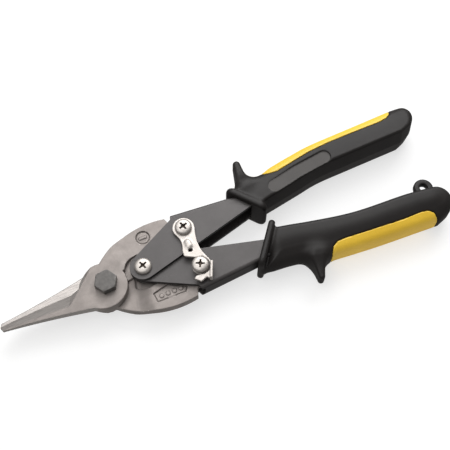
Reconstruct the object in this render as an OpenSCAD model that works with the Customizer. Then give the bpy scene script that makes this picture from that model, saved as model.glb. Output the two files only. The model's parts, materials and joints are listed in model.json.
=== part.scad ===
// Compound-action aviation snips, straight cut, closed and latched.
// Millimetres. +X runs from the blade tip to the handle ends, +Z is up, and the
// origin is on the main pivot's axis, at the plane that the closed tool lies on.

/* [Linkage] */
// Height of the plane in which the two blades meet
mid_z = 11; // [10.5:0.1:12]
// Distance from the main pivot to the pivot that joins the handles
handle_pivot_x = 21; // [20:0.5:22]
// Distance from the main pivot to the two jaw pins, along the tool
jaw_pin_x = 49; // [48:0.5:50]
// Distance of each jaw pin from the tool's centre line
jaw_pin_y = 12; // [11:0.5:13]

/* [Jaws] */
// Thickness of a jaw at the main pivot
jaw_t = 5; // [4.5:0.1:5.2]
// Thickness of a jaw's tang, between the handle's plates
tang_t = 5.5; // [5:0.1:5.8]
// Distance from the main pivot to the blade tips
blade_len = 59; // [50:1:64]
// Width of a blade across its tip
tip_w = 3.2; // [2.6:0.1:4]
// Slope of the ground bevel behind a cutting edge
bevel_angle = 28.4; // [24:0.2:32]
// Radius of the round boss at the main pivot
boss_r = 13; // [12:0.1:14]
// Gap between the two blades' ground faces
blade_gap = 0.06; // [0.02:0.02:0.2]

/* [Handles] */
// Sheet thickness of the pressed handle channels
sheet_t = 2; // [1.6:0.1:2.2]
// Half width outside of the lower handle's channel
lower_half = 5.5; // [5.5:0.1:6]
// Radius of the handles' round front ends
arm_end_r = 7.2; // [6.5:0.1:7.6]

/* [Grips] */
// Half thickness of a grip at the palm
grip_half = 11; // [10:0.1:11]
// Thickness of the guard flange at the front of a grip
flange_t = 3; // [2:0.1:4]
// Radius of the hanging hole
hang_hole_r = 2.2; // [1.5:0.1:2.6]
// Depth of the long oval recess in the upper grip
recess_depth = 0.85; // [0.65:0.1:1.25]

/* [Fasteners] */
// Radius of the main pivot bolt's shank
bolt_r = 4; // [3.5:0.1:4.5]
// Distance across the flats of the pivot bolt's head
hex_af = 11; // [10:0.5:13]
// Radius of the three pivot posts
post_r = 3; // [2.6:0.1:3.2]
// Radius of the cross-recessed screw heads
head_r = 4.6; // [4:0.1:5]
// Radial clearance of a running fit
run_fit = 0.05; // [0.03:0.01:0.08]
// Radial clearance of the front jaw's hole, which takes up the linkage's error
float_fit = 0.35; // [0.3:0.05:0.6]

/* [Hidden] */
$fn = 64;

// Colours
steel_c = [0.70, 0.66, 0.63];
arm_c = [0.30, 0.29, 0.28];
nickel_c = [0.90, 0.87, 0.83];
grip_c = [0.16, 0.15, 0.15];
yellow_c = [0.88, 0.68, 0.20];
oxide_c = [0.33, 0.32, 0.31];

// Pivot centres
main_pivot = [0, 0];
handle_pivot = [handle_pivot_x, 0];
upper_pin = [jaw_pin_x, jaw_pin_y];
lower_pin = [jaw_pin_x, -jaw_pin_y];

// Levels of the stack, measured from the blades' plane
plate_gap = 0.1;
slip = 0.05;
upper_half = lower_half + plate_gap + sheet_t;
latch_washer_t = 0.5;
latch_t = 1.5;
latch_base = upper_half + latch_washer_t;
latch_top = latch_base + latch_t;
head_t = 2.3;
flange_head_t = 1.8;
washer_t = 1.2;
hex_head_t = 4.2;
far = 200;

// Ground bevel: the cutting edge's ends, and its height over the blades' plane
edge_root = [-13, 3];
edge_tip = [-blade_len, 0.6];
edge_z = 0.7;

// ---------- helpers ----------

// The point where a line from p touches a circle; side is 1 or -1
function touch(c, r, p, side) =
  let (d = p - c, a = atan2(d.y, d.x) + side * acos(r / norm(d)))
  c + r * [cos(a), sin(a)];

// Lifts a part from the blades' plane to the plane that the tool lies on
module at_mid() { translate([0, 0, mid_z]) children(); }

// A plate between two heights
module slab(z0, z1) { translate([0, 0, z0]) linear_extrude(z1 - z0) children(); }

module hole_at(p, r) { translate([p.x, p.y, -far / 2]) cylinder(h = far, r = r); }

// Half of space above a level plane through the origin
module above() { translate([-far / 2, -far / 2, 0]) cube(far); }

// ---------- jaws ----------

// Outer edge of a blade, a shallow parabola from the tip to the boss
function spine_y(x) =
  let (s = x + blade_len - 1) -(tip_w - 0.6 + 0.12 * s + 0.001 * s * s);

// Cutting edge, nearly straight, curving in at the tip
function edge_y(x) =
  let (s = (x - edge_root.x) / (blade_len + edge_root.x))
  edge_root.y - (edge_root.y - edge_tip.y) * s * s;

blade_steps = 10;
spine_end_x = -7;
blade_shoulder = [[0, 0], [-5.1, 10], [-7.9, 7.6], [-10.4, 6], [-12.4, 4.3]];
tang_arc_r = 47.5;
tang_arc_c = [33, -21.9];
pin_eye_r = 8.3;
hollow_r = 10.2;
boss_centre = [-2, -0.5];

module blade_outline() {
  spine_step = (spine_end_x + blade_len - 1) / blade_steps;
  edge_step = (edge_root.x - edge_tip.x) / blade_steps;
  spine = [for (i = [0:blade_steps]) let (x = 1 - blade_len + i * spine_step) [x, spine_y(x)]];
  edge = [for (i = [blade_steps:-1:0]) let (x = edge_tip.x + i * edge_step) [x, edge_y(x)]];
  polygon(concat(spine, blade_shoulder, edge));
}

module tang_outline() {
  intersection() {
    polygon([[-5.1, 10], [9.5, 19.7], [12, 30], [42.4, 30], [42.4, 24.2], [43.4, 21.5], [45, 19.1],
      upper_pin, [jaw_pin_x - 1.5, jaw_pin_y - 8.1], [34, 6.3], [26.1, 8.8], [12, 4], [0, 0]]);
    translate(tang_arc_c) circle(tang_arc_r, $fn = 128);
  }
}

// Low ledge inside the hollow, beside the handles' front end. It stays clear of
// the spring, and of the other jaw's step on the side where that jaw's tang is.
ledge_z = 1.4;
ledge_r = 14.2;
ledge_x = 7;
ledge_y = 5.8;
ledge_in = 5.9;
ledge_fit = 0.15;
ledge_from = 60;
ledge_to = 190;

module ledge_sector() {
  turns = [for (i = [0:5]) ledge_from + (ledge_to - ledge_from) * i / 5];
  translate(handle_pivot) polygon(concat([[0, 0]], [for (a = turns) 20 * [cos(a), sin(a)]]));
}

module jaw_ledge() {
  slab(blade_gap / 2, ledge_z) intersection() {
    ledge_sector();
    difference() {
      union() {
        translate(handle_pivot) circle(hollow_r - ledge_fit);
        intersection() {
          translate(handle_pivot) circle(hollow_r + 0.5);
          translate([ledge_x, 0]) square(far);
        }
        intersection() {
          circle(ledge_r);
          translate([ledge_x, -ledge_y]) square([10, 2 * ledge_y]);
        }
      }
      translate(handle_pivot) circle(ledge_in);
    }
  }
}

module jaw_blank() {
  thick = jaw_t + 1;
  difference() {
    union() {
      slab(-tang_t, thick) blade_outline();
      slab(-tang_t, thick) translate(boss_centre) circle(boss_r);
      slab(-tang_t, thick) tang_outline();
      slab(-tang_t, thick) translate(upper_pin) circle(pin_eye_r);
    }
    hole_at(handle_pivot, hollow_r);
  }
  jaw_ledge();
}

// Side view of a jaw: the blade lies on one side of the blades' plane, and the
// tang steps over to the middle of the handles
step_x0 = 14.4;
step_x1 = 18.4;
step_turn = 12;
tip_top = 2;
taper_x = -12;
module jaw_side_profile() {
  tang_h = tang_t / 2;
  front_x = -blade_len - 5;
  back_x = 80;
  polygon([[front_x, blade_gap / 2], [step_x0, blade_gap / 2], [step_x1, -tang_h], [back_x, -tang_h],
    [back_x, tang_h], [step_x1, tang_h], [step_x0, jaw_t], [taper_x, jaw_t], [front_x, tip_top]]);
}

// Bevel behind the cutting edge, run out towards the boss on a steep ramp
ramp_start = [-15.2, 1.6];
ramp_angle = 48;
ramp_turn = 45;
module bevel_cut() {
  turn = atan2(edge_root.y - edge_tip.y, edge_root.x - edge_tip.x);
  intersection() {
    translate([edge_root.x, edge_root.y, edge_z]) rotate([-bevel_angle, 0, turn]) above();
    translate([ramp_start.x, ramp_start.y, jaw_t]) rotate([-ramp_angle, 0, ramp_turn]) above();
  }
}

module jaw(pin_hole_r, pivot_hole_r) {
  difference() {
    intersection() {
      jaw_blank();
      rotate([0, 0, step_turn]) translate([0, far / 2, 0]) rotate([90, 0, 0])
        linear_extrude(far) jaw_side_profile();
    }
    bevel_cut();
    hole_at(main_pivot, pivot_hole_r);
    hole_at(upper_pin, pin_hole_r);
  }
}

mark_depth = 0.5;
groove_depth = 1.0;
groove_w = 0.6;
mark_centre = [27.3, 18.6];
mark_r = 4;
mark_bar = [4.4, 1.3];

// Round sunk mark on the tang with a groove round it, and a plain raised bar in place of a letter
module round_mark() {
  translate(mark_centre) {
    slab(tang_t / 2 - mark_depth, tang_t) difference() {
      circle(mark_r);
      square(mark_bar, center = true);
    }
    slab(tang_t / 2 - groove_depth, tang_t) difference() {
      circle(mark_r);
      circle(mark_r - groove_w);
    }
  }
}

panel = [[21.2, -20], [20.6, -14.4], [30, -12], [39.2, -17.4], [37.4, -20.2]];
stud_count = 4;
stud_r = 1.1;
stud_pitch = 3.6;
first_stud = [24.5, -17.2];

// Sunk panel on the tang with a groove round it, and plain raised studs in place of words
module panel_mark() {
  slab(tang_t / 2 - mark_depth, tang_t) difference() {
    polygon(panel);
    for (i = [0:stud_count - 1]) translate(first_stud + [stud_pitch * i, 0]) circle(stud_r);
  }
  slab(tang_t / 2 - groove_depth, tang_t) difference() {
    polygon(panel);
    offset(delta = -groove_w) polygon(panel);
  }
}

module front_jaw() {
  color(steel_c) at_mid() difference() {
    jaw(post_r + float_fit, bolt_r + run_fit);
    round_mark();
  }
}

module rear_jaw() {
  color(steel_c) at_mid() difference() {
    rotate([180, 0, 0]) jaw(post_r + run_fit, bolt_r);
    panel_mark();
  }
}

// ---------- main pivot ----------

bolt_turn = 4;
nut_af = 13;
nut_turn = 17;
nut_chamfer = 1.5;
head_chamfer = 1.4;
washer_r = 8;

module hexagon(af, turn) { rotate(turn) circle(d = af / cos(30), $fn = 6); }

module main_pivot_bolt() {
  color(oxide_c) at_mid() {
    translate([0, 0, -mid_z]) cylinder(h = mid_z + jaw_t + slip, r = bolt_r);
    translate([0, 0, jaw_t + slip]) intersection() {
      linear_extrude(hex_head_t) hexagon(hex_af, bolt_turn);
      rotate_extrude() polygon([[0, 0], [hex_af, 0], [hex_af, hex_head_t - head_chamfer],
        [hex_af / 2 - 0.2, hex_head_t], [0, hex_head_t]]);
    }
  }
}

module main_pivot_washer() {
  color(oxide_c) at_mid() difference() {
    translate([0, 0, -jaw_t - washer_t]) cylinder(h = washer_t, r = washer_r);
    hole_at(main_pivot, bolt_r);
  }
}

module main_pivot_nut() {
  nut_t = mid_z - jaw_t - washer_t;
  color(oxide_c) at_mid() difference() {
    translate([0, 0, -mid_z]) intersection() {
      linear_extrude(nut_t) hexagon(nut_af, nut_turn);
      rotate_extrude() polygon([[0, 0], [nut_af / 2 - 0.1, 0], [nut_af / 2 + 2.5, nut_chamfer],
        [nut_af / 2 + 2.5, nut_t], [0, nut_t]]);
    }
    hole_at(main_pivot, bolt_r);
  }
}

// ---------- handle channels ----------

// Points on the outline of the upper handle's side plates
arm_corner = [44.4, 20.4];
arm_heel = [45.4, 23.2];
arm_collar_out = [80, 20.5];
arm_collar_in = [88, 10.4];
web_start = 47.2;

// Middle line of the tongue that runs on inside the grip
tongue = [[84, 15.5], [108, 18.6], [136, 22.4], [168, 23.4]];
tongue_half = 4.2;
function tongue_edge(side) = [for (p = tongue) [p.x - side * 0.6, p.y + side * tongue_half]];
function reversed(v) = [for (i = [len(v) - 1:-1:0]) v[i]];
function lowered(v, d) = [for (p = v) [p.x, p.y - d]];
function tail(v) = [for (i = [1:len(v) - 1]) v[i]];

// Points of a round front end between the two straight edges that touch it
front_steps = 24;
function front_arc() =
  let (
    top = touch(handle_pivot, arm_end_r, arm_corner, 1) - handle_pivot,
    low = touch(handle_pivot, arm_end_r, arm_collar_in, -1) - handle_pivot,
    a0 = atan2(top.y, top.x),
    a1 = atan2(low.y, low.x) + 360
  )
  [for (i = [0:front_steps]) let (a = a0 + (a1 - a0) * i / front_steps)
    handle_pivot + arm_end_r * [cos(a), sin(a)]];

arm_back = concat([arm_corner, arm_heel, arm_collar_out], tongue_edge(1));
module plate_outline() {
  polygon(concat(front_arc(), [arm_collar_in], tail(tongue_edge(-1)), reversed(arm_back)));
}

// Everything between the side plates except the web along the handle's back
module channel_room() {
  web_line = lowered(concat([arm_collar_out], tongue_edge(1)), sheet_t);
  polygon(concat([[web_start, arm_heel.y + 5], [web_start, arm_heel.y - 0.1 - sheet_t]], web_line,
    [[180, 25], [180, -10], [10, -10], [10, arm_heel.y + 5]]));
}

module channel(half) {
  difference() {
    slab(-half, half) plate_outline();
    slab(sheet_t - half, half - sheet_t) channel_room();
  }
}

module upper_arm() {
  color(arm_c) at_mid() difference() {
    channel(upper_half);
    hole_at(handle_pivot, post_r + run_fit);
    hole_at(upper_pin, post_r);
  }
}

module lower_arm() {
  color(arm_c) at_mid() difference() {
    mirror([0, 1, 0]) channel(lower_half);
    hole_at(handle_pivot, post_r);
    hole_at(lower_pin, post_r);
  }
}

// ---------- screws and posts ----------

cross_w = 1.2;
cross_l = 5;
cross_depth = 1.2;
shank_r = 1.8;
shank_l = 8;
head_rim = 0.6;

// Cross-recessed screw whose shank goes down into a hollow post
module pan_screw(p, base, turn) {
  dome_r = (head_r * head_r + head_t * head_t) / (2 * head_t) + head_rim;
  at_mid() translate([p.x, p.y, base]) difference() {
    union() {
      intersection() {
        cylinder(h = head_t, r = head_r);
        translate([0, 0, head_t - dome_r]) sphere(dome_r, $fn = 96);
      }
      translate([0, 0, -shank_l]) cylinder(h = shank_l + 0.1, r = shank_r);
    }
    rotate([0, 0, turn]) for (a = [0, 90]) rotate([0, 0, a])
      translate([0, 0, head_t]) cube([cross_l, cross_w, 2 * cross_depth], center = true);
  }
}

// Hollow post with a flat flange at the back
module post(p, back, front) {
  at_mid() translate([p.x, p.y, 0]) difference() {
    union() {
      translate([0, 0, back]) cylinder(h = front - back, r = post_r);
      translate([0, 0, back - flange_head_t]) cylinder(h = flange_head_t, r = head_r);
    }
    translate([0, 0, front - shank_l - 0.6]) cylinder(h = shank_l + 1, r = shank_r);
  }
}

boss_top = latch_top + 0.1;
module handle_pivot_screw() { color(nickel_c) pan_screw(handle_pivot, upper_half + slip, 20); }
module handle_pivot_post() { color(nickel_c) post(handle_pivot, -upper_half - slip, upper_half + slip); }
module upper_jaw_screw() { color(nickel_c) pan_screw(upper_pin, latch_top + slip, 15); }
module upper_jaw_post() { color(nickel_c) post(upper_pin, -upper_half, latch_top + slip); }
module lower_jaw_screw() { color(nickel_c) pan_screw(lower_pin, boss_top, 65); }
module lower_jaw_post() { color(nickel_c) post(lower_pin, -lower_half, lower_half); }

// Grooved boss on the lower jaw pin; the latch's hook enters the groove
groove_r = 2.8;
module latch_boss() {
  color(nickel_c) at_mid() translate([lower_pin.x, lower_pin.y, 0]) difference() {
    union() {
      translate([0, 0, lower_half]) cylinder(h = latch_base - 3 * slip - lower_half, r = head_r - 0.1);
      translate([0, 0, lower_half]) cylinder(h = boss_top - lower_half, r = groove_r);
    }
    translate([0, 0, lower_half - 1]) cylinder(h = shank_l, r = shank_r);
  }
}

module ring_washer(p, z0, z1, r_out, r_in) {
  at_mid() translate([p.x, p.y, z0]) difference() {
    cylinder(h = z1 - z0, r = r_out);
    translate([0, 0, -1]) cylinder(h = z1 - z0 + 2, r = r_in);
  }
}

spacer_r = 5.4;
module jaw_spacers(p, inner) {
  ring_washer(p, tang_t / 2 + slip, inner, spacer_r, post_r);
  ring_washer(p, -inner, -tang_t / 2 - slip, spacer_r, post_r);
}

module upper_jaw_spacers() { color(nickel_c) jaw_spacers(upper_pin, upper_half - sheet_t); }
module lower_jaw_spacers() { color(nickel_c) jaw_spacers(lower_pin, lower_half - sheet_t); }

// ---------- latch ----------

latch_eye_r = 6;

// Straight stretch of the latch, its U-shaped mouth and the hook below it,
// measured from the upper jaw pin
latch_left = [[-4.6, -3.9], [-4.3, -6], [-4.6, -9.5], [-5.8, -13], [-6, -15.6], [-0.5, -18.9]];
latch_mouth = [[3.3, -21.6], [3.3, -27.6], [1, -29.2], [-4.6, -29.1]];
latch_hook = [[-5.9, -29.9], [-3, -32.8], [0.6, -31.6], [1.95, -33.26]];
latch_right = [[6.22, -24], [5.3, -20.6], [4.2, -18], [3.7, -14], [3.8, -10], [4.7, -6.5], [5.6, -2]];

// Tab for the thumb, bent up along the latch's edge, and a dimple with a hole below it
tab_corner = [1.43, -33.45];
tab_turn = -24.7;
tab_size = [1.5, 9.8, 4.2];
dimple = [-1.25, -10.3];
dimple_r = 3.2;
dimple_h = 0.8;
small_hole = [-1.6, -13.8];
small_hole_r = 1.1;

module latch() {
  color(nickel_c) at_mid() translate([upper_pin.x, upper_pin.y, 0]) {
    difference() {
      slab(latch_base, latch_top) difference() {
        union() {
          circle(latch_eye_r);
          polygon(concat(latch_left, latch_mouth, latch_hook, latch_right));
        }
        circle(post_r + run_fit);
      }
      hole_at(small_hole, small_hole_r);
    }
    translate([tab_corner.x, tab_corner.y, latch_base]) rotate(tab_turn) cube(tab_size);
    translate([dimple.x, dimple.y, latch_top]) intersection() {
      translate([0, 0, dimple_h - dimple_r]) sphere(dimple_r);
      translate([-dimple_r, -dimple_r, 0]) cube(2 * dimple_r);
    }
  }
}

latch_washer_r = 5.2;
module latch_spring_washer() {
  color(nickel_c) ring_washer(upper_pin, upper_half, latch_base, latch_washer_r, post_r);
}

// ---------- return spring ----------

// Torsion spring round the handle pivot; its two legs press the handles apart
wire_r = 0.6;
coil_r = 4.6;
coil_turns = 3.5;
coil_pitch = 1.5;
wire_sides = 8;
coil_steps = 20;

function coil_point(i) =
  let (a = -360 * i / coil_steps - 90)
  [handle_pivot.x + coil_r * cos(a), coil_r * sin(a), coil_pitch * (i / coil_steps - coil_turns / 2)];
coil = [for (i = [0:coil_steps * coil_turns]) coil_point(i)];
leg_z = coil_pitch * coil_turns / 2;
leg_end_x = 38;
spring_path = concat([[leg_end_x, -coil_r, -leg_z]], coil, [[leg_end_x, coil_r, leg_z]]);

function unit(v) = v / norm(v);
function wire_ring(i) =
  let (
    last = len(spring_path) - 1,
    t = unit(spring_path[min(i + 1, last)] - spring_path[max(i - 1, 0)]),
    side = unit(cross([0, 0, 1], t)),
    up = cross(t, side)
  )
  [for (k = [0:wire_sides - 1]) let (a = 360 * k / wire_sides)
    spring_path[i] + wire_r * (cos(a) * side + sin(a) * up)];

module return_spring() {
  n = len(spring_path);
  w = wire_sides;
  points = [for (i = [0:n - 1]) each wire_ring(i)];
  walls = [for (i = [0:n - 2]) for (k = [0:w - 1])
    [(i + 1) * w + k, (i + 1) * w + (k + 1) % w, i * w + (k + 1) % w, i * w + k]];
  caps = [[for (k = [0:w - 1]) k], [for (k = [w - 1:-1:0]) (n - 1) * w + k]];
  color(nickel_c) at_mid() polyhedron(points = points, faces = concat(walls, caps), convexity = 8);
}

// ---------- grips ----------

// Stations along a grip: inner edge, outer edge, half thickness, corner radius
upper_stations = [
  [[94.4, 8.4], [83.4, 22.9], 10.2, 5],
  [[103, 9.6], [96.5, 26.2], 10.6, 5.5],
  [[112, 11.2], [108.5, 29.8], 10.8, 6],
  [[125, 13.9], [122.5, 32.4], grip_half, 6.5],
  [[140, 15.8], [138.5, 34.3], grip_half, 6.5],
  [[172, 16.5], [172, 35.7], grip_half, 6.5],
  [[188, 17.2], [190, 36.4], grip_half - 0.2, 6.5],
  [[196.4, 21], [198, 36], 9.4, 6],
  [[200.6, 26], [201.4, 33], 6, 3]
];
lower_stations = [
  [[93.7, -6.7], [79.6, -24.5], 10.2, 5],
  [[103, -8.4], [93, -27], 10.6, 6.5],
  [[114, -10.8], [107.5, -30.6], 10.8, 7],
  [[126, -13.3], [122, -33.8], grip_half, 6.5],
  [[142, -15.5], [140.5, -35.8], grip_half, 6.5],
  [[170, -17.2], [170, -37.6], grip_half, 6.5],
  [[183, -18.4], [181, -37.9], grip_half - 0.2, 6.5],
  [[190.6, -20], [188.5, -35.6], 9, 6],
  [[194.2, -24.5], [193.4, -31], 6, 3]
];

corner_steps = 5;
function section_points(w, h, r) = [for (q = [0:3]) for (i = [0:corner_steps])
  let (a = 90 * (q + i / corner_steps), sx = (q == 0 || q == 3) ? 1 : -1, sy = q < 2 ? 1 : -1)
  [sx * (w - r) + r * cos(a), sy * (h - r) + r * sin(a)]];

function station_ring(s) =
  let (d = s[1] - s[0], m = (s[0] + s[1]) / 2, along = -sign(d.y) * d / norm(d))
  [for (p = section_points(norm(d) / 2, s[2], s[3])) [m.x + along.x * p.x, m.y + along.y * p.x, p.y]];

// Skin over a row of rounded sections, closed at both ends
module loft(stations) {
  n = 4 * (corner_steps + 1);
  last = len(stations) - 1;
  points = [for (s = stations) each station_ring(s)];
  walls = [for (i = [0:last - 1]) for (k = [0:n - 1]) let (k2 = (k + 1) % n) each
    [[i * n + k, i * n + k2, (i + 1) * n + k2], [i * n + k, (i + 1) * n + k2, (i + 1) * n + k]]];
  caps = [[for (k = [n - 1:-1:0]) k], [for (k = [0:n - 1]) last * n + k]];
  polyhedron(points = points, faces = concat(walls, caps), convexity = 6);
}

// Guard flange: a rounded plate across the front of the grip
module guard(a, b) {
  d = b - a;
  m = (a + b) / 2;
  translate([m.x, m.y, 0]) rotate([0, 0, atan2(d.y, d.x)]) rotate([90, 0, 0])
    linear_extrude(flange_t, center = true) polygon(section_points(norm(d) / 2, grip_half, 5));
}

module horn(base, base_r, tip, tip_r) {
  hull() {
    translate([base.x, base.y, -8]) cylinder(h = 16, r = base_r, $fn = 32);
    translate([tip.x, tip.y, -4]) cylinder(h = 8, r = tip_r, $fn = 32);
  }
}

// Room inside a grip for the steel handle, whose channel it fills up
module tongue_room(half) { slab(-half, half) plate_outline(); }

upper_insert = [[104, 24.6], [110, 23.6], [118, 25], [132, 27.8], [146, 29.2], [165, 29.6], [181, 29.8],
  [186.5, 31.5], [189.6, 35], [190, 45], [100, 45]];
lower_insert = [[115, -38], [117.6, -32.4], [120.6, -28.8], [125, -28], [140, -29.2], [160, -30.6],
  [174, -30.8], [178.6, -32], [180.2, -35], [180, -45], [112, -45]];

// Long oval recess, bent once to follow the grip
recess_path = [[105.5, 15.6], [121, 19], [139, 21.4]];
recess_r = 3.8;
recess_steps = 12;

function heading(a, b) = atan2(b.y - a.y, b.x - a.x);
function half_circle(c, r, from) = [for (i = [0:recess_steps])
  let (a = from + 180 * i / recess_steps) c + r * [cos(a), sin(a)]];

module recess_outline() {
  first = heading(recess_path[0], recess_path[1]);
  second = heading(recess_path[1], recess_path[2]);
  bend = (first + second) / 2 + 90;
  side = recess_r / cos((first - second) / 2) * [cos(bend), sin(bend)];
  polygon(concat(half_circle(recess_path[0], recess_r, first + 90), [recess_path[1] - side],
    half_circle(recess_path[2], recess_r, second - 90), [recess_path[1] + side]));
}

module upper_grip_form() {
  loft(upper_stations);
  guard([95.6, 5.4], [80.4, 24.6]);
  horn([92.3, 25.2], 5.3, [93.4, 40.4], 2.2);
}

module lower_grip_form() {
  loft(lower_stations);
  guard([95.6, -2.6], [78.2, -24.8]);
  horn([109, -31], 6, [107.2, -41], 2);
}

module upper_grip() {
  color(grip_c) at_mid() difference() {
    upper_grip_form();
    tongue_room(upper_half);
    slab(-far / 2, far / 2) polygon(upper_insert);
    slab(grip_half - recess_depth, grip_half + 1) recess_outline();
  }
}

module upper_grip_insert() {
  color(yellow_c) at_mid() intersection() {
    loft(upper_stations);
    slab(-far / 2, far / 2) polygon(upper_insert);
  }
}

hang_centre = [185, -15.2];
hang_ring_r = 5.6;
hang_ring_t = 4.4;

module lower_grip() {
  color(grip_c) at_mid() {
    difference() {
      lower_grip_form();
      mirror([0, 1, 0]) tongue_room(lower_half);
      slab(-far / 2, far / 2) polygon(lower_insert);
    }
    hang_ring();
  }
}

module hang_ring() {
  slab(-hang_ring_t / 2, hang_ring_t / 2) difference() {
    union() {
      translate(hang_centre) circle(hang_ring_r);
      translate([hang_centre.x - 4.5, hang_centre.y - 9]) square([9, 7]);
    }
    translate(hang_centre) circle(hang_hole_r);
  }
}

module lower_grip_insert() {
  color(yellow_c) at_mid() intersection() {
    loft(lower_stations);
    slab(-far / 2, far / 2) polygon(lower_insert);
  }
}

front_jaw();
rear_jaw();
main_pivot_bolt();
main_pivot_washer();
main_pivot_nut();
upper_arm();
lower_arm();
handle_pivot_screw();
handle_pivot_post();
upper_jaw_screw();
upper_jaw_post();
lower_jaw_screw();
lower_jaw_post();
latch_boss();
upper_jaw_spacers();
lower_jaw_spacers();
latch();
latch_spring_washer();
return_spring();
upper_grip();
lower_grip();
upper_grip_insert();
lower_grip_insert();
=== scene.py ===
"""Looks of the aviation snips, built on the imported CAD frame.

The shapes below are worked out in millimetres in the tool's own plane: x and y as in the frame,
z from the plane in which the two blades meet. Meshes are turned into metres when they are made.
"""
import json
import math

import bmesh
import bpy
import numpy as np
from mathutils import Matrix, Vector


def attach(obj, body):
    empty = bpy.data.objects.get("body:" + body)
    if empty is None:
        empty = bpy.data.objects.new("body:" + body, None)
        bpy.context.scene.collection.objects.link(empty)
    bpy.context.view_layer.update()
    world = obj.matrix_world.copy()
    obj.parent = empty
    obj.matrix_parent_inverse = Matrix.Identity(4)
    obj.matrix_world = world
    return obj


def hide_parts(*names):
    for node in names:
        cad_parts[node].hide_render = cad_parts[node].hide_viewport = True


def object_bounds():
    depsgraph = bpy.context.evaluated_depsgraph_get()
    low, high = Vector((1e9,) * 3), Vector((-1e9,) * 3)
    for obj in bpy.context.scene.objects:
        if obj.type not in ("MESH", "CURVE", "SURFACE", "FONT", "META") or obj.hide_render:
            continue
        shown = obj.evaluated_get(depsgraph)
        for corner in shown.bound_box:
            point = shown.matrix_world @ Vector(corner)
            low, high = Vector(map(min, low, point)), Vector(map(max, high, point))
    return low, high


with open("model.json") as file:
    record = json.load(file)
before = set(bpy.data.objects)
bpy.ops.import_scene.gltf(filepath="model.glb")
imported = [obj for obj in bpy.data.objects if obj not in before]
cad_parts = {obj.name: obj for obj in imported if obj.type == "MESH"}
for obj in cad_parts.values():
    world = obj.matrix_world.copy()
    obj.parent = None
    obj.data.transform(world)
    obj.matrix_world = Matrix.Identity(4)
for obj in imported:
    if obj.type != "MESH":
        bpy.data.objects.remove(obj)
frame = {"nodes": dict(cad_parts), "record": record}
cad_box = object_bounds()
nodes = frame["nodes"]

MM = 0.001
MID_Z = 11.0

# Pivot centres and levels that the CAD nodes share; FAR is longer than any hole is deep
HANDLE_PIVOT = Vector((21.0, 0.0))
UPPER_PIN = Vector((49.0, 12.0))
LOWER_PIN = Vector((49.0, -12.0))
LATCH_BASE = 8.1
LATCH_TOP = 9.6
FAR = 20


# ---------- small mesh helpers ----------

def link(name, mesh):
    obj = bpy.data.objects.new(name, mesh)
    bpy.context.scene.collection.objects.link(obj)
    return obj


def mesh_object(name, points, faces):
    """A smooth-shaded object from points in millimetres, with z from the blades' plane."""
    mesh = bpy.data.meshes.new(name)
    in_metres = np.asarray(points, float) * MM + np.array([0, 0, MID_Z * MM])
    mesh.from_pydata(in_metres.tolist(), [], [list(f) for f in faces])
    mesh.validate()
    mesh.shade_smooth()
    return link(name, mesh)


def bmesh_object(name, bm):
    """The same from a bmesh, which is used up."""
    bmesh.ops.recalc_face_normals(bm, faces=bm.faces)
    bmesh.ops.transform(bm, matrix=Matrix.Translation((0, 0, MID_Z)), verts=bm.verts)
    bmesh.ops.scale(bm, vec=(MM, MM, MM), verts=bm.verts)
    mesh = bpy.data.meshes.new(name)
    bm.to_mesh(mesh)
    bm.free()
    mesh.shade_smooth()
    return link(name, mesh)


def apply_modifiers(obj):
    """Keeps what the modifiers make of the mesh, and drops the modifiers."""
    depsgraph = bpy.context.evaluated_depsgraph_get()
    mesh = bpy.data.meshes.new_from_object(obj.evaluated_get(depsgraph))
    obj.modifiers.clear()
    obj.data = mesh
    return obj


def cut(obj, tools, materials="INDEX"):
    """Cuts the tools out of obj; with materials TRANSFER the cut faces keep the tools' material."""
    for tool in tools:
        m = obj.modifiers.new("cut", "BOOLEAN")
        m.operation = "DIFFERENCE"
        m.solver = "EXACT"
        m.material_mode = materials
        m.object = tool
    apply_modifiers(obj)
    for tool in tools:
        bpy.data.objects.remove(tool)
    return obj


def round_edges(obj, width, segments=3, angle=35.0):
    """Small rounded edges, in millimetres, with shading that keeps the flats flat."""
    b = obj.modifiers.new("edges", "BEVEL")
    b.width = width * MM
    b.segments = segments
    b.limit_method = "ANGLE"
    b.angle_limit = math.radians(angle)
    b.harden_normals = True
    w = obj.modifiers.new("normals", "WEIGHTED_NORMAL")
    w.keep_sharp = False
    w.weight = 80
    return obj


def prism(outline, z0, z1):
    """A bmesh of an outline raised between two levels."""
    bm = bmesh.new()
    verts = [bm.verts.new((x, y, z0)) for x, y in outline]
    face = bm.faces.new(verts)
    extruded = bmesh.ops.extrude_face_region(bm, geom=[face])["geom"]
    top = [v for v in extruded if isinstance(v, bmesh.types.BMVert)]
    bmesh.ops.translate(bm, vec=(0, 0, z1 - z0), verts=top)
    return bm


def disc(centre, radius, count=64):
    turns = [math.tau * i / count for i in range(count)]
    return [(centre[0] + radius * math.cos(a), centre[1] + radius * math.sin(a)) for a in turns]


def lathe(profile, centre, count=72):
    """A solid of revolution about a vertical axis, from (radius, height) points."""
    bm = bmesh.new()
    rings = []
    for r, z in profile:
        if r == 0:
            rings.append([bm.verts.new((centre[0], centre[1], z))])
        else:
            rings.append([bm.verts.new((x, y, z)) for x, y in disc(centre, r, count)])
    for a, b in zip(rings, rings[1:]):
        for i in range(count):
            j = (i + 1) % count
            ring = [a[i % len(a)], a[j % len(a)], b[j % len(b)], b[i % len(b)]]
            bm.faces.new(list(dict.fromkeys(ring)))
    return bm


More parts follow.
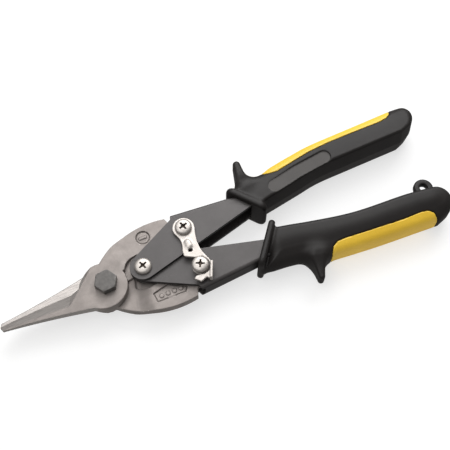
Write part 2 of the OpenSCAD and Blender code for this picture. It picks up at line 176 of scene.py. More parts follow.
def spline(points, steps):
    """Open Catmull-Rom curve through the points."""
    p = np.asarray(points, float)
    last = len(p) - 1
    out = []
    for i in range(last):
        a, b, c, d = p[max(i - 1, 0)], p[i], p[i + 1], p[min(i + 2, last)]
        for k in range(steps):
            t = k / steps
            out.append(0.5 * (2 * b + (c - a) * t + (2 * a - 5 * b + 4 * c - d) * t * t
                              + (3 * b - a - 3 * c + d) * t ** 3))
    out.append(p[-1])
    return np.array(out)


# ---------- distance fields ----------

class Grid:
    """A box of sample points for a distance field, in millimetres."""

    def __init__(self, low, high, step):
        self.low = np.array(low, float)
        self.step = step
        counts = np.ceil((np.array(high, float) - self.low) / step).astype(int) + 1
        axes = [self.low[i] + step * np.arange(counts[i]) for i in range(3)]
        self.x, self.y = np.meshgrid(axes[0], axes[1], indexing="ij")
        self.xy = np.stack([self.x, self.y], -1)
        self.z = axes[2][None, None, :]


def polygon_distance(x, y, outline):
    """Signed distance to a closed outline, negative inside."""
    p = np.stack([x, y], -1)
    pts = np.asarray(outline, float)
    best = np.full(x.shape, np.inf)
    inside = np.zeros(x.shape, bool)
    for a, b in zip(pts, np.roll(pts, -1, 0)):
        e = b - a
        w = p - a
        t = np.clip((w @ e) / max(e @ e, 1e-12), 0, 1)
        d = w - t[..., None] * e
        best = np.minimum(best, (d * d).sum(-1))
        crosses = (a[1] > y) != (b[1] > y)
        if a[1] != b[1]:
            inside ^= crosses & (x < e[0] * (y - a[1]) / e[1] + a[0])
    return np.where(inside, -1, 1) * np.sqrt(best)


def line_distance(p, line):
    """Distance from points in the plane to an open chain of straight stretches."""
    best = np.full(p.shape[:-1], np.inf)
    for a, b in zip(line, line[1:]):
        a, e = np.array(a), np.subtract(b, a)
        t = np.clip(((p - a) @ e) / (e @ e), 0, 1)
        best = np.minimum(best, np.linalg.norm(p - a - t[..., None] * e, axis=-1))
    return best


def both(a, b):
    """Where two fields overlap, with true distances round their common corner."""
    return np.minimum(np.maximum(a, b), 0) + np.hypot(np.maximum(a, 0), np.maximum(b, 0))


def raised(flat, z, half, rounding):
    """A flat distance field raised to a half thickness, with rounded rims."""
    across = flat[..., None] if flat.ndim == 2 else flat
    return both(across + rounding, np.abs(z) - (half - rounding)) - rounding


def join(a, b, k):
    """Both shapes in one, blended over k where they meet."""
    h = np.maximum(k - np.abs(a - b), 0) / k
    return np.minimum(a, b) - h * h * k / 4


def carve(a, b, k):
    """a without b, with the rim rounded over k."""
    return -join(-a, b, k)


def skin(grid, field):
    """Surface net of a field's zero level: points and quads."""
    inside = field < 0
    corner = [(i, j, k) for i in (0, 1) for j in (0, 1) for k in (0, 1)]
    size = np.array(field.shape) - 1

    def shifted(v, o):
        return v[o[0]:o[0] + size[0], o[1]:o[1] + size[1], o[2]:o[2] + size[2]]

    total = sum(shifted(inside, o).astype(np.int8) for o in corner)
    cells = (total > 0) & (total < 8)
    index = np.full(cells.shape, -1)
    where = np.argwhere(cells)
    index[cells] = np.arange(len(where))
    points = np.zeros((len(where), 3))
    count = np.zeros(len(where))
    for a in corner:
        for axis in range(3):
            if a[axis]:
                continue
            b = tuple(1 if i == axis else a[i] for i in range(3))
            fa = shifted(field, a)[cells]
            fb = shifted(field, b)[cells]
            hit = (fa < 0) != (fb < 0)
            t = np.where(hit, fa / np.where(hit, fa - fb, 1), 0)
            spot = np.repeat([np.array(a, float)], len(where), 0)
            spot[:, axis] += t
            points[hit] += spot[hit]
            count[hit] += 1
    points = grid.low + grid.step * (where + points / count[:, None])
    faces = []
    for axis in range(3):
        u, v = (axis + 1) % 3, (axis + 2) % 3
        lo = [slice(1, -1)] * 3
        lo[axis] = slice(0, -1)
        hi = list(lo)
        hi[axis] = slice(1, None)
        first, second = inside[tuple(lo)], inside[tuple(hi)]
        at = np.argwhere(first != second)
        out = first[first != second]
        at = at + [0 if i == axis else 1 for i in range(3)]
        du = np.eye(3, dtype=int)[u]
        dv = np.eye(3, dtype=int)[v]
        quad = [index[tuple((at - s * du - t * dv).T)] for s, t in ((1, 1), (0, 1), (0, 0), (1, 0))]
        quad = np.stack(quad, -1)
        quad[~out] = quad[~out][:, ::-1]
        faces.append(quad)
    return points, np.concatenate(faces)


# ---------- materials ----------

def new_material(name):
    m = bpy.data.materials.new(name)
    m.use_nodes = True
    tree = m.node_tree
    shader = tree.nodes["Principled BSDF"]
    return m, tree, shader


def node(tree, kind, **inputs):
    n = tree.nodes.new(kind)
    for key, value in inputs.items():
        n.inputs[key.replace("_", " ")].default_value = value
    return n


def place(tree, scale=(1, 1, 1)):
    """Object coordinates in millimetres, stretched by scale."""
    at = tree.nodes.new("ShaderNodeTexCoord")
    mapping = node(tree, "ShaderNodeMapping")
    mapping.inputs["Scale"].default_value = [s / MM for s in scale]
    tree.links.new(at.outputs["Object"], mapping.inputs["Vector"])
    return mapping.outputs["Vector"]


def noise(tree, vector, scale, detail=3.0, roughness=0.55):
    n = node(tree, "ShaderNodeTexNoise", Scale=scale, Detail=detail, Roughness=roughness)
    tree.links.new(vector, n.inputs["Vector"])
    return n.outputs["Fac"]


def ramp(tree, value, stops):
    r = tree.nodes.new("ShaderNodeValToRGB")
    while len(r.color_ramp.elements) < len(stops):
        r.color_ramp.elements.new(0.5)
    for element, (at, colour) in zip(r.color_ramp.elements, stops):
        element.position = at
        element.color = (*colour, 1)
    tree.links.new(value, r.inputs["Fac"])
    return r.outputs["Color"]


def between(tree, value, dark, light):
    """A noise's value as a colour between two, over the range that it mostly fills."""
    return ramp(tree, value, [(0.3, dark), (0.7, light)])


def grey(v):
    return (v, v, v)


def axes_of(tree, coordinate):
    """A texture coordinate split into X, Y and Z."""
    coords = tree.nodes.new("ShaderNodeTexCoord")
    split = tree.nodes.new("ShaderNodeSeparateXYZ")
    tree.links.new(coords.outputs[coordinate], split.inputs["Vector"])
    return split.outputs


def maths(tree, operation, a, b=0.0):
    m = tree.nodes.new("ShaderNodeMath")
    m.operation = operation
    for socket, value in zip(m.inputs, (a, b)):
        if isinstance(value, bpy.types.NodeSocket):
            tree.links.new(value, socket)
        else:
            socket.default_value = value
    return m.outputs["Value"]


def mix(tree, factor, a, b, blend="MIX"):
    m = tree.nodes.new("ShaderNodeMix")
    m.data_type = "RGBA"
    m.blend_type = blend
    colours = [s for s in m.inputs if s.type == "RGBA"]
    for socket, value in ((m.inputs[0], factor), (colours[0], a), (colours[1], b)):
        if isinstance(value, bpy.types.NodeSocket):
            tree.links.new(value, socket)
        elif isinstance(value, tuple):
            socket.default_value = (*value, 1)
        else:
            socket.default_value = value
    return next(s for s in m.outputs if s.type == "RGBA")


def bump(tree, shader, heights):
    """Chain of bumps from (height, strength, depth in millimetres)."""
    normal = None
    for height, strength, depth in heights:
        b = node(tree, "ShaderNodeBump", Strength=strength, Distance=depth * MM)
        tree.links.new(height, b.inputs["Height"])
        if normal:
            tree.links.new(normal, b.inputs["Normal"])
        normal = b.outputs["Normal"]
    tree.links.new(normal, shader.inputs["Normal"])


def edge_wear_and_hollow_shade(tree, low, high):
    """Edge mask for wear: 1 on outward edges, 0 on flats; the other way round in hollows when low is above
    high, which masks painted shade in hollows.
    """
    geometry = tree.nodes.new("ShaderNodeNewGeometry")
    r = node(tree, "ShaderNodeMapRange")
    r.inputs["From Min"].default_value = low
    r.inputs["From Max"].default_value = high
    tree.links.new(geometry.outputs["Pointiness"], r.inputs["Value"])
    return r.outputs["Result"]


# The blades lie beyond this x, in millimetres
BLADE_ROOT_X = -9


def jaw_steel():
    """Bead-blasted forged steel, with grinding lines on the blade's ground faces, and painted shade in its
    hollows and concave edges.
    """
    m, tree, shader = new_material("jaw_steel")
    at = place(tree)
    blast = noise(tree, at, 3.2, 4)
    cloud = noise(tree, at, 0.16, 4)
    tone = between(tree, cloud, (0.265, 0.238, 0.223), (0.36, 0.323, 0.303))
    speck = ramp(tree, blast, [(0.35, grey(0.86)), (0.62, grey(1.0))])
    colour = mix(tree, 1.0, tone, speck, "MULTIPLY")

    # Ground faces: the blade's bevels, and the flats on which the blades meet
    position = axes_of(tree, "Object")
    facing = axes_of(tree, "Normal")
    on_blade = maths(tree, "LESS_THAN", position["X"], BLADE_ROOT_X * MM)
    tilted = maths(tree, "LESS_THAN", maths(tree, "ABSOLUTE", facing["Z"]), 0.95)
    level = maths(tree, "ABSOLUTE", maths(tree, "SUBTRACT", position["Z"], MID_Z * MM))
    inner = maths(tree, "LESS_THAN", level, 0.25 * MM)
    ground = maths(tree, "MULTIPLY", on_blade, maths(tree, "MAXIMUM", tilted, inner))
    lines = noise(tree, place(tree, (0.12, 2.4, 2.4)), 1.0, 4, 0.65)
    ground_tone = between(tree, lines, (0.30, 0.278, 0.264), (0.53, 0.495, 0.47))
    colour = mix(tree, ground, colour, ground_tone)

    colour = mix(tree, edge_wear_and_hollow_shade(tree, 0.52, 0.60), colour, (0.62, 0.57, 0.54))
    # Painted shade: concave edges and hollows darkened where shadow falls
    colour = mix(tree, edge_wear_and_hollow_shade(tree, 0.485, 0.42), colour, (0.10, 0.09, 0.085))
    tree.links.new(colour, shader.inputs["Base Color"])
    rough = between(tree, blast, grey(0.50), grey(0.64))
    rough = mix(tree, ground, rough, grey(0.36))
    tree.links.new(rough, shader.inputs["Roughness"])
    shader.inputs["Metallic"].default_value = 0.62
    bump(tree, shader, [(blast, 0.35, 0.05), (lines, 0.10, 0.05)])
    return m


def black_oxide():
    """Black oxide on machined steel, rubbed grey on the edges."""
    m, tree, shader = new_material("dark_oxide")
    at = place(tree)
    cloud = noise(tree, at, 0.5, 5)
    tone = between(tree, cloud, (0.095, 0.090, 0.086), (0.135, 0.128, 0.122))
    tone = mix(tree, edge_wear_and_hollow_shade(tree, 0.53, 0.62), tone, (0.22, 0.21, 0.20))
    tree.links.new(tone, shader.inputs["Base Color"])
    rough = between(tree, noise(tree, at, 1.6, 3), grey(0.42), grey(0.58))
    tree.links.new(rough, shader.inputs["Roughness"])
    shader.inputs["Metallic"].default_value = 0.5
    bump(tree, shader, [(noise(tree, at, 2.5, 3), 0.2, 0.05)])
    return m


def handle_paint():
    """Semi-matt charcoal powder paint with a faint orange peel, and painted shade that darkens the upright
    faces.
    """
    m, tree, shader = new_material("handle_paint")
    at = place(tree)
    peel = noise(tree, at, 1.5, 2)
    tone = between(tree, noise(tree, at, 0.09, 3), (0.072, 0.066, 0.065), (0.088, 0.081, 0.080))
    fleck = ramp(tree, noise(tree, at, 6.0, 2), [(0.62, grey(1.0)), (0.76, grey(1.5))])
    tone = mix(tree, 1.0, tone, fleck, "MULTIPLY")
    # Painted shade: faces that stand upright are darkened, as they get less light
    level = maths(tree, "ABSOLUTE", axes_of(tree, "Normal")["Z"])
    sides = ramp(tree, level, [(0.35, grey(0.30)), (0.85, grey(1.0))])
    tone = mix(tree, 1.0, tone, sides, "MULTIPLY")
    tree.links.new(tone, shader.inputs["Base Color"])
    rough = between(tree, peel, grey(0.40), grey(0.50))
    tree.links.new(rough, shader.inputs["Roughness"])
    shader.inputs["Metallic"].default_value = 0.15
    bump(tree, shader, [(peel, 0.15, 0.05)])
    return m


def nickel():
    """Bright nickel plate with faint rolling marks."""
    m, tree, shader = new_material("nickel")
    cloud = noise(tree, place(tree), 0.35, 3)
    tone = between(tree, cloud, (0.46, 0.425, 0.395), (0.54, 0.505, 0.475))
    tree.links.new(tone, shader.inputs["Base Color"])
    streak = noise(tree, place(tree, (3.0, 0.6, 3.0)), 1.0, 3)
    rough = between(tree, streak, grey(0.34), grey(0.48))
    tree.links.new(rough, shader.inputs["Roughness"])
    shader.inputs["Metallic"].default_value = 0.75
    bump(tree, shader, [(streak, 0.08, 0.03)])
    return m


def painted_recess_shade():
    """Painted shade: a dark colour in the screws' cross recesses, where shadow falls."""
    m, tree, shader = new_material("painted_recess_shade")
    cloud = noise(tree, place(tree), 2.0, 3)
    tone = between(tree, cloud, (0.030, 0.020, 0.013), (0.12, 0.085, 0.06))
    tree.links.new(tone, shader.inputs["Base Color"])
    shader.inputs["Roughness"].default_value = 0.45
    shader.inputs["Metallic"].default_value = 0.4
    return m


def spring_wire():
    """Drawn steel wire, a little uneven in tone."""
    m, tree, shader = new_material("spring_wire")
    tone = between(tree, noise(tree, place(tree), 1.2, 3), (0.30, 0.29, 0.28), (0.46, 0.45, 0.43))
    tree.links.new(tone, shader.inputs["Base Color"])
    shader.inputs["Roughness"].default_value = 0.35
    shader.inputs["Metallic"].default_value = 0.9
    return m


def moulded(name, dark, light, worn, rough, gloss):
    """Moulded soft plastic with a fine spark-eroded grain, and worn in tone on its edges."""
    m, tree, shader = new_material(name)
    at = place(tree)
    grain = noise(tree, at, 4.2, 3, 0.6)
    tone = between(tree, noise(tree, at, 0.07, 4), dark, light)
    speck = ramp(tree, grain, [(0.35, grey(0.90)), (0.65, grey(1.06))])
    tone = mix(tree, 1.0, tone, speck, "MULTIPLY")
    tone = mix(tree, edge_wear_and_hollow_shade(tree, 0.53, 0.62), tone, worn)
    tree.links.new(tone, shader.inputs["Base Color"])
    rough = between(tree, grain, grey(rough - 0.06), grey(rough + 0.06))
    tree.links.new(rough, shader.inputs["Roughness"])
    shader.inputs["Specular IOR Level"].default_value = gloss
    bump(tree, shader, [(grain, 0.22, 0.06), (noise(tree, at, 0.25, 2), 0.05, 0.3)])
    return m


MATERIALS = {
    "jaw_steel": jaw_steel(),
    "dark_oxide": black_oxide(),
    "handle_paint": handle_paint(),
    "nickel": nickel(),
    "spring_wire": spring_wire(),
    "grip_rubber": moulded("grip_rubber", (0.012, 0.0101, 0.0095), (0.017, 0.0146, 0.0138),
                           (0.042, 0.038, 0.036), 0.50, 0.34),
    "insert_rubber": moulded("insert_rubber", (0.89, 0.56, 0.028), (0.94, 0.61, 0.036),
                             (0.96, 0.70, 0.10), 0.48, 0.85),
}
RECESS_TEXTURE = moulded("recess_texture", (0.066, 0.061, 0.058), (0.080, 0.074, 0.071),
                         (0.070, 0.066, 0.063), 0.62, 0.45)
PAINTED_RECESS_SHADE = painted_recess_shade()


def finish_piece(obj, body, slot, *replaced):
    """One material for the whole piece, and its place in the part."""
    obj.data.materials.clear()
    obj.data.materials.append(MATERIALS[slot])
    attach(obj, body)
    if replaced:
        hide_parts(*replaced)
    return obj


# ---------- carried-over CAD nodes ----------

def paint_node(obj, material):
    obj.data.materials.clear()
    obj.data.materials.append(material)
    obj.data.shade_smooth()


def weld(obj):
    m = obj.modifiers.new("weld", "WELD")
    m.merge_threshold = 0.002 * MM
    return obj


FORGED_VOXEL = 0.24
FORGED_PASSES = 4


def forge(obj):
    """Remeshes evenly and relaxes, so that every edge is softly rounded as on a forging."""
    r = obj.modifiers.new("even", "REMESH")
    r.mode = "VOXEL"
    r.voxel_size = FORGED_VOXEL * MM
    r.use_smooth_shade = True
    s = obj.modifiers.new("soft", "SMOOTH")
    s.factor = 0.5
    s.iterations = FORGED_PASSES


# The CAD's step from boss to tang: its direction, and where along that it starts and ends
STEP_TURN = math.radians(12)
STEP = (14.4, 18.4)
# Levels before and after the step, and where the softened step starts and ends
OUTER_STEP = ((5.0, 2.75), (11.5, 22.5))
INNER_STEP = ((0.03, -2.75), (13.8, 24.0))
# The move is whole down to the first depth under a face, and nothing below the second
MOVE_DEPTHS = (0.4, 2.0)


def soft_step(name, side, body):
    """The jaw with long, soft steps between boss and tang on both of its faces.

    side is 1 for the front jaw, whose outer face looks up, and -1 for the rear jaw.
    """
    evaluated = nodes[name].evaluated_get(bpy.context.evaluated_depsgraph_get())
    mesh = bpy.data.meshes.new_from_object(evaluated)
    flat = np.empty(len(mesh.vertices) * 3)
    mesh.vertices.foreach_get("co", flat)
    p = flat.reshape(-1, 3) / MM
    z = (p[:, 2] - MID_Z) * side
    along = p[:, 0] * math.cos(STEP_TURN) + p[:, 1] * side * math.sin(STEP_TURN)
    moved = np.zeros(len(z))
    whole, nothing = MOVE_DEPTHS
    for (levels, reach), outwards in ((OUTER_STEP, 1), (INNER_STEP, -1)):
        sharp = np.interp(along, STEP, levels)
        t = np.clip((along - reach[0]) / (reach[1] - reach[0]), 0, 1)
        soft = levels[0] + (levels[1] - levels[0]) * t * t * (3 - 2 * t)
        height = (z - sharp) * outwards
        moved += (soft - sharp) * np.clip((height + nothing) / (nothing - whole), 0, 1)
    p[:, 2] = MID_Z + (z + moved) * side
    mesh.vertices.foreach_set("co", (p * MM).ravel())
    mesh.shade_smooth()
    return finish_piece(link(name + "_forging", mesh), body, "jaw_steel", name)


slot_of = {s["node"]: s["material_slot"] for s in frame["record"]["subparts"]}
for name, obj in nodes.items():
    paint_node(obj, MATERIALS[slot_of[name]])

for name, side, body in (("front_jaw", 1, "front_blade"), ("rear_jaw", -1, "rear_blade")):
    forge(nodes[name])
    soft_step(name, side, body)

MACHINED = ("main_pivot_bolt", "main_pivot_nut", "main_pivot_washer", "latch_boss",
            "handle_pivot_post", "upper_jaw_post", "lower_jaw_post",
            "upper_jaw_spacers", "lower_jaw_spacers", "latch_spring_washer")
for name in MACHINED:
    round_edges(weld(nodes[name]), 0.25)


# ---------- handle channels

# The upper channel's outline, from its front corner to the end of its tongue; the lower is its mirror
ARM_CORNER = Vector((44.4, 20.4))
ARM_HEEL = Vector((45.4, 23.2))
COLLAR_OUT = Vector((80.0, 20.5))
COLLAR_IN = Vector((88.0, 10.4))
TONGUE = [Vector((84, 15.5)), Vector((108, 18.6)), Vector((136, 22.4)), Vector((168, 23.4))]
TONGUE_HALF = Vector((-0.6, 4.2))
FRONT_R = 7.2
SHEET = 2.0
BEND_R = 2.0
WEB_START = 47.2
UPPER_ARM_HALF = 7.6
LOWER_ARM_HALF = 5.5
PIVOT_HOLE_R = 3.05
JAW_HOLE_R = 3.0


def touch(centre, r, point, side):
    """Angle at which a line from the point touches a circle."""
    d = point - centre
    return math.atan2(d.y, d.x) + side * math.acos(r / d.length)


def tongue_edge(side):
    return [p + side * TONGUE_HALF for p in TONGUE]


def plate_outline():
    """Side plate: a round front end about the handle pivot, straight edges, and the tongue."""
    a0 = touch(HANDLE_PIVOT, FRONT_R, ARM_CORNER, 1)
    a1 = touch(HANDLE_PIVOT, FRONT_R, COLLAR_IN, -1) + math.tau
    steps = 40
    turns = [a0 + (a1 - a0) * i / steps for i in range(steps + 1)]
    front = [HANDLE_PIVOT + FRONT_R * Vector((math.cos(a), math.sin(a))) for a in turns]
    back = [ARM_CORNER, ARM_HEEL, COLLAR_OUT] + tongue_edge(1)
    return front + [COLLAR_IN] + tongue_edge(-1)[1:] + back[::-1]


def bent_channel(name, half, mirrored):
    """Pressed channel: two side plates and a web along the back, with rounded bends."""
    bend_points = [ARM_HEEL, COLLAR_OUT] + tongue_edge(1)
    solid = prism(plate_outline(), -half, half)
    rims = []
    for e in solid.edges:
        flat = abs(e.verts[0].co.z - e.verts[1].co.z) < 1e-6
        on_back = all(any((v.co.xy - p).length < 1e-4 for p in bend_points) for v in e.verts)
        if flat and on_back:
            rims.append(e)
    bmesh.ops.bevel(solid, geom=rims, offset=BEND_R, segments=6, profile=0.5, affect="EDGES")
    # Room between the plates: it ends at the web, and runs out past the plates on the other sides
    web = [Vector((WEB_START, ARM_HEEL.y - 0.1 - SHEET))]
    web += [p - Vector((0, SHEET)) for p in [COLLAR_OUT] + tongue_edge(1)]
    past = [Vector(p) for p in ((180, 25), (180, -15), (5, -15), (5, 30))]
    cavity = prism([Vector((WEB_START, 30))] + web + past, SHEET - half, half - SHEET)
    holes = [prism(disc(HANDLE_PIVOT, PIVOT_HOLE_R), -FAR, FAR),
             prism(disc(UPPER_PIN, JAW_HOLE_R), -FAR, FAR)]
    parts = [solid, cavity] + holes
    if mirrored:
        for bm in parts:
            bmesh.ops.scale(bm, vec=(1, -1, 1), verts=bm.verts)
    solids = [bmesh_object(name, bm) for bm in parts]
    return round_edges(cut(solids[0], solids[1:]), 0.3, 2, 40)


upper_arm = bent_channel("upper_arm_sheet", UPPER_ARM_HALF, False)
lower_arm = bent_channel("lower_arm_sheet", LOWER_ARM_HALF, True)
finish_piece(upper_arm, "upper_handle", "handle_paint", "upper_arm")
finish_piece(lower_arm, "lower_handle", "handle_paint", "lower_arm")


# ---------- screws

HEAD_R = 4.6
HEAD_H = 2.3
HEAD_RIM = 1.0
HEAD_CHAMFER = 0.15
CROWN_POWER = 0.55
SHANK_R = 1.8
SHANK_LENGTH = 8
# The cross recess: half sizes of a wing, and levels from the head's top
WING_HALF = (2.35, 0.5)
WING_LEVELS = (0.6, -0.2, -1.7)


def screw_profile(base):
    """Pan head: upright rim, tight shoulder, nearly flat crown."""
    foot = base - SHANK_LENGTH
    points = [(0, foot), (SHANK_R, foot), (SHANK_R, base), (HEAD_R - HEAD_CHAMFER, base),
              (HEAD_R, base + HEAD_CHAMFER), (HEAD_R, base + HEAD_RIM)]
    steps = 12
    for i in range(1, steps + 1):
        a = math.radians(90 * i / steps)
        r = HEAD_R * math.cos(a) ** CROWN_POWER if i < steps else 0
        points.append((r, base + HEAD_RIM + (HEAD_H - HEAD_RIM) * math.sin(a)))
    return points


def cross_tool(centre, top, turn):
    """Tapered cross with a pointed centre, as a driver's tip."""
    levels = [top + z for z in WING_LEVELS]
    bodies = []
    for quarter in (0, 90):
        bm = bmesh.new()
        rings = []
        for taper, z in zip((1.12, 1.0, 0.42), levels):
            x, y = WING_HALF[0] * taper, WING_HALF[1]
            rings.append([bm.verts.new((u, v, z)) for u, v in ((-x, -y), (x, -y), (x, y), (-x, y))])
        bm.faces.new(rings[0])
        bm.faces.new(rings[-1][::-1])
        for a, b in zip(rings, rings[1:]):
            for i in range(4):
                j = (i + 1) % 4
                bm.faces.new((a[i], a[j], b[j], b[i]))
        spin = Matrix.Rotation(math.radians(turn + quarter), 4, "Z")
        bmesh.ops.transform(bm, matrix=Matrix.Translation((*centre, 0)) @ spin, verts=bm.verts)
        bodies.append(bmesh_object("wing", bm))
    cone = [(0, levels[0]), *zip((1.25, 1.1, 0.35), levels), (0, levels[-1])]
    bodies.append(bmesh_object("cone", lathe(cone, centre, 24)))
    return bodies


def cross_screw(name, centre, base, turn, body, replaced):
    """Screw head and shank, with painted shade in the cross; base is the head's underside."""
    screw = bmesh_object(name, lathe(screw_profile(base), centre))
    screw.data.materials.append(MATERIALS["nickel"])
    tools = cross_tool(centre, base + HEAD_H, turn)
    for tool in tools:
        # Painted shade: the cross recess faces take the dark recess colour
        tool.data.materials.append(PAINTED_RECESS_SHADE)
    round_edges(cut(screw, tools, "TRANSFER"), 0.1, 2, 30)
    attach(screw, body)
    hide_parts(replaced)


cross_screw("handle_pivot_screw_head", HANDLE_PIVOT, 7.65, 22, "lower_handle", "handle_pivot_screw")
cross_screw("upper_jaw_screw_head", UPPER_PIN, 9.65, 17, "upper_handle", "upper_jaw_screw")
cross_screw("lower_jaw_screw_head", LOWER_PIN, 9.7, 64, "lower_handle", "lower_jaw_screw")


# ---------- latch

# All places are from the middle of the eye, with the latch closed
LATCH_RIM = 0.28
EYE_R = 6.0
EYE_HOLE_R = 3.05
DIMPLE_X = -1.2
DIMPLE_Y = (-11.0, -9.2)
DIMPLE_R = 1.7
DIMPLE_H = 0.75
SMALL_HOLE = (-1.55, -13.9)
SMALL_HOLE_HALF = (1.2, 0.95)
TAB_CENTRE = (4.16, -29.31)
TAB_TURN = -24.7
TAB_HALF = (0.75, 4.9, 2.1)
TAB_RIM = 0.3


def latch_outline():
    """Waist and hook, from the eye's left side round the hook and back up the right side."""
    left = spline([(-4.9, -3.4), (-4.3, -6.5), (-4.7, -9.8), (-5.7, -12.8)], 6)
    sole = [(-6.0, -15.6), (-5.2, -16.4), (-0.5, -18.9)]
    mouth = spline([(3.0, -19.6), (4.7, -22.2), (5.0, -25.0), (3.4, -28.2), (0.4, -29.4)], 5)
    claw = [(-2.2, -28.9), (-4.6, -28.9), (-5.9, -30.0), (-3.0, -32.8), (0.6, -31.6), (1.95, -33.26)]
    right = spline([(6.2, -24.0), (5.2, -20.6), (4.2, -17.6), (3.7, -14.0), (3.8, -10.0),
                    (4.6, -6.0), (5.6, -2.0)], 5)
    return [*left.tolist(), *sole, *mouth.tolist(), *claw, *right.tolist()]


def dimple_field(grid):
    """Long dimple, pressed up out of the waist."""
    reach = np.clip(grid.y, *DIMPLE_Y)
    across = (grid.x - DIMPLE_X)[..., None] / DIMPLE_R
    along = (grid.y - reach)[..., None] / DIMPLE_R
    up = (grid.z - LATCH_TOP) / DIMPLE_H
    return (np.sqrt(across ** 2 + along ** 2 + up ** 2) - 1) * DIMPLE_H


def tab_field(grid):
    """Thumb tab, bent up along the right edge beside the screw's head."""
    turn = math.radians(TAB_TURN)
    x, y = grid.x - TAB_CENTRE[0], grid.y - TAB_CENTRE[1]
    across = x * math.cos(turn) + y * math.sin(turn)
    along = y * math.cos(turn) - x * math.sin(turn)
    places = (across[..., None], along[..., None], grid.z - LATCH_BASE - TAB_HALF[2])
    box = [np.abs(v) - half + TAB_RIM for v, half in zip(places, TAB_HALF)]
    outside = np.sqrt(sum(np.maximum(v, 0) ** 2 for v in box))
    return outside + np.minimum(np.maximum(np.maximum(box[0], box[1]), box[2]), 0) - TAB_RIM


def latch_piece():
    """Stamped plate with a round eye, waist, dimple, hook and a bent-up thumb tab."""
    grid = Grid((-8.6, -35.6, LATCH_BASE - 1.2), (9.6, 8.2, LATCH_TOP + 4.4), 0.2)
    from_eye = np.hypot(grid.x, grid.y)
    flat = join(from_eye - EYE_R, polygon_distance(grid.x, grid.y, latch_outline()), 0.8)
    flat = np.maximum(flat, EYE_HOLE_R - from_eye)
    mid, half = (LATCH_BASE + LATCH_TOP) / 2, (LATCH_TOP - LATCH_BASE) / 2
    plate = raised(flat, grid.z - mid, half, LATCH_RIM)
    plate = join(plate, dimple_field(grid), 0.7)
    hole = np.hypot((grid.x - SMALL_HOLE[0]) / SMALL_HOLE_HALF[0],
                    (grid.y - SMALL_HOLE[1]) / SMALL_HOLE_HALF[1]) - 1
    plate = carve(plate, hole[..., None] + 0 * grid.z, 0.25)
    plate = join(plate, tab_field(grid), 0.5)
    points, faces = skin(grid, plate)
    points += np.array([UPPER_PIN.x, UPPER_PIN.y, 0])
    return mesh_object("latch_plate_pressing", points, faces)


finish_piece(latch_piece(), "latch_plate", "nickel", "latch")


# ---------- grips

GRIP_STEP = 0.45
GRIP_LOW_Z = -12.0
GRIP_HALF = 11.0
GUARD_CORNER = 4.2
# The guard's rim radius, as a share of half its thickness
GUARD_RIM = 0.85
# Groove between shell and insert, and how round its edges are
GROOVE = 0.16
GROOVE_RIM = 0.5
# Long oval recess in the upper grip's face, with a bent middle line
RECESS = [(105.5, 15.6), (121, 19.0), (139, 21.4)]
RECESS_R = 3.8
RECESS_DEPTH = 0.85
HANG_CENTRE = (185.0, -15.2)
HANG_R = 5.6
HANG_HOLE_R = 2.2
HANG_HALF = 2.2
HANG_RIM = 1.3


def guard_field(grid, a, b, thick):
    """Guard flange: a rounded plate across the line from a to b."""
    a, b = np.array(a), np.array(b)
    along = (b - a) / np.linalg.norm(b - a)
    x, y = grid.x - (a[0] + b[0]) / 2, grid.y - (a[1] + b[1]) / 2
    s = x * along[0] + y * along[1]
    n = x * -along[1] + y * along[0]
    reach = np.linalg.norm(b - a) / 2 - GUARD_CORNER
    face = both(np.abs(s)[..., None] - reach, np.abs(grid.z) - (GRIP_HALF - GUARD_CORNER)) - GUARD_CORNER
    rim = thick / 2 * GUARD_RIM
    return both(face + rim, np.abs(n)[..., None] - (thick / 2 - rim)) - rim


def horn_field(grid, base, tip, radii, halves, rounding):
    """Tapered finger guard from base to tip, flatter towards its tip."""
    base, tip = np.array(base, float), np.array(tip, float)
    d = tip - base
    x, y = grid.x - base[0], grid.y - base[1]
    t = np.clip((x * d[0] + y * d[1]) / (d @ d), 0, 1)
    radius = radii[0] + t * (radii[1] - radii[0])
    flat = np.hypot(x - t * d[0], y - t * d[1]) - radius
    half = (halves[0] + t * (halves[1] - halves[0]))[..., None]
    return raised(flat, grid.z, half, rounding)


def side_blend(grid, inner, outer):
    """0 at the inner edge of a grip, 1 at its outer edge."""
    near, far = line_distance(grid.xy, inner), line_distance(grid.xy, outer)
    t = np.clip(near / (near + far + 1e-6) * 1.6 - 0.3, 0, 1)
    return t * t * (3 - 2 * t)


def grip_body(grid, inner, end, outer, front, inner_rim, inner_slope, outer_rim, half, crown):
    """The palm's rounded bar: edge lines in the plane, raised with a softer outer side.

    outer_rim and half are stated along x; crown is how far the faces drop towards the outer side.
    """
    inner, outer = spline(inner, 6), spline(outer, 6)
    end = spline([inner[-1], *end, outer[0]], 5)[1:-1]
    flat = polygon_distance(grid.x, grid.y, np.concatenate([inner, end, outer, [front]]))
    t = side_blend(grid, inner, outer)[..., None]
    rim = np.interp(grid.x, *zip(*outer_rim))[..., None]
    top = np.interp(grid.x, *zip(*half))[..., None]
    lean = inner_slope * (1 - t) * np.abs(grid.z)
    return raised(flat[..., None] + lean, grid.z, top - crown * t * t, inner_rim + t * (rim - inner_rim))


def slot_field(grid, half, mirrored):
    """The room that the steel channel takes up in a grip."""
    outline = [(p.x, -p.y if mirrored else p.y) for p in plate_outline()]
    return raised(polygon_distance(grid.x, grid.y, outline), grid.z, half, 0.05)


def split_grip(grid, whole, outline):
    """Dark shell and coloured insert that meet along a fine groove."""
    region = polygon_distance(grid.x, grid.y, outline)[..., None] + 0 * grid.z
    shell = carve(whole, region - GROOVE / 2, GROOVE_RIM)
    insert = carve(whole, -(region + GROOVE / 2), GROOVE_RIM)
    return shell, insert


